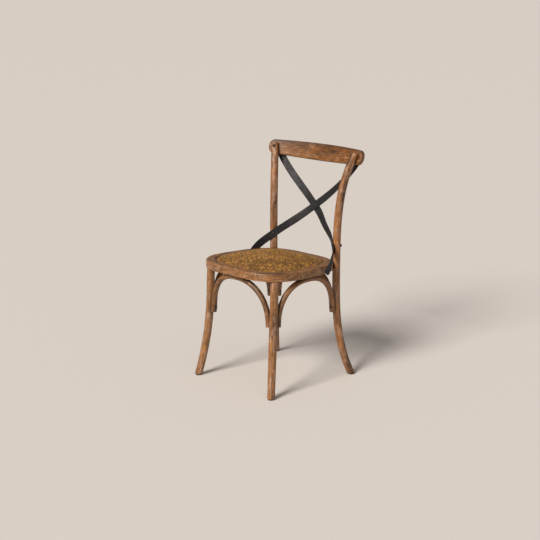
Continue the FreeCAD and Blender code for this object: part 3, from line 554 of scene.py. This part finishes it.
# Each crossing has its own shade, with slow clouds of wear over all
crossing = add_node(material, "ShaderNodeCombineXYZ", {"X": column, "Y": row})
own = add_node(material, "ShaderNodeTexWhiteNoise", {"Vector": crossing}, output="Value",
               noise_dimensions="2D")
clouds = add_node(material, "ShaderNodeTexNoise", {
    "Vector": place, "Scale": 16.0, "Detail": 4.0, "Roughness": 0.55}, output="Fac")
tone = add_node(material, "ShaderNodeValToRGB", {"Fac": own},
                stops=[(0.0, "#40270f"), (0.45, "#7a5029"), (1.0, "#c79044")])
cloud = add_node(material, "ShaderNodeValToRGB", {"Fac": clouds},
                 stops=[(0.35, "#a8988c"), (0.62, "#ffffff")])
tone = add_node(material, "ShaderNodeMix", {0: 0.85, 6: tone, 7: cloud},
                output=2, data_type="RGBA", blend_type="MULTIPLY")

# Painted highlight on crowns, painted shade in gaps, from the distance to the crossing's middle
from_column = add_node(material, MATH, {0: across, 1: column}, operation="SUBTRACT")
from_row = add_node(material, MATH, {0: along, 1: row}, operation="SUBTRACT")
offset = add_node(material, "ShaderNodeCombineXYZ", {"X": from_column, "Y": from_row})
gap = add_node(material, "ShaderNodeVectorMath", {0: offset}, output="Value", operation="LENGTH")
painted_crown_highlight = add_node(material, "ShaderNodeMapRange", {
    "Value": gap, "From Min": 0.05, "From Max": 0.38, "To Min": 0.5, "To Max": 0.0})
tone = add_node(material, "ShaderNodeMix", {0: painted_crown_highlight, 6: tone, 7: linear_colour("#cf9c4a")},
                output=2, data_type="RGBA")
# Painted shade: the gaps where four strips meet go nearly black
shadow = add_node(material, "ShaderNodeMapRange", {
    "Value": gap, "From Min": 0.34, "From Max": 0.58, "To Min": 0.0, "To Max": 1.0})
tone = add_node(material, "ShaderNodeMix", {0: shadow, 6: tone, 7: linear_colour("#2b190c")},
                output=2, data_type="RGBA")

# Painted shade in the groove between the weave and the ring, found by the occlusion node
open_air = add_node(material, "ShaderNodeAmbientOcclusion", {"Distance": 0.012}, output="AO",
                    samples=8)
painted_groove_shade = add_node(material, "ShaderNodeMapRange", {
    "Value": open_air, "From Min": 0.3, "From Max": 0.75, "To Min": 0.9, "To Max": 0.0})
tone = add_node(material, "ShaderNodeMix", {0: painted_groove_shade, 6: tone, 7: linear_colour("#22140a")},
                output=2, data_type="RGBA")
shader = add_node(material, "ShaderNodeBsdfPrincipled", {
    "Base Color": tone, "Roughness": 0.38, "IOR": 1.5})
add_node(material, "ShaderNodeOutputMaterial", {"Surface": shader})

woven.data.materials.append(material)
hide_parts("woven_seat", "seat_padding")
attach(woven, "root")
print("woven seat in place")

# %% [markdown]
# ## Floor
# The chair stands on a plain pale floor. It is only there to catch the shadows, so it has one
# matt colour, and it is made so wide that no edge of it comes into the picture. A wall behind the
# chair could do the same, but it would throw its light back on the wood.

# %% Floor
FLOOR_SIZE = 1200.0

bpy.ops.object.select_all(action="DESELECT")
bpy.ops.mesh.primitive_plane_add(size=FLOOR_SIZE, location=(0, 0, 0))
floor = bpy.context.active_object
floor.name = "studio_floor"
material = new_material("pale_studio_floor")
shader = add_node(material, "ShaderNodeBsdfPrincipled", {
    "Base Color": linear_colour("#d9d3cd"), "Roughness": 0.85})
add_node(material, "ShaderNodeOutputMaterial", {"Surface": shader})
floor.data.materials.append(material)
print("floor:", floor.name)

# %% [markdown]
# ## Light
# In the photograph a large soft light stands off to the left, so sides which face right fall into
# shade. Here it is a far light with a wide spread, which gives the same soft shadows over the
# whole floor. A weak one on the right opens those shades a little, and a pale world does the
# rest. Area lamps would do as well, but they fade across the floor.

# %% Lamps and world
def far_light(name, direction, strength, spread, colour):
    """A light so far off that it lights the whole floor evenly, soft by its spread in degrees."""
    data = bpy.data.lights.new(name, "SUN")
    data.energy = strength
    data.angle = radians(spread)
    data.color = linear_colour(colour)[:3]
    lamp = bpy.data.objects.new(name, data)
    lamp.rotation_euler = Vector(direction).to_track_quat("Z", "Y").to_euler()
    bpy.context.scene.collection.objects.link(lamp)


far_light("key_light", (0.10, -1.0, 0.68), 4.1, 22, "#fffaf4")
far_light("fill_light", (1.0, -0.4, 0.8), 0.25, 60, "#f4f5ff")

world = bpy.data.worlds.new("studio_world")
world.use_nodes = True
world.node_tree.nodes.clear()
sky = add_node(world, "ShaderNodeBackground", {"Color": linear_colour("#ece6e0"), "Strength": 0.28})
add_node(world, "ShaderNodeOutputWorld", {"Surface": sky})
bpy.context.scene.world = world
bpy.context.scene.view_settings.view_transform = "Standard"
print("floor, lamps and world ready")
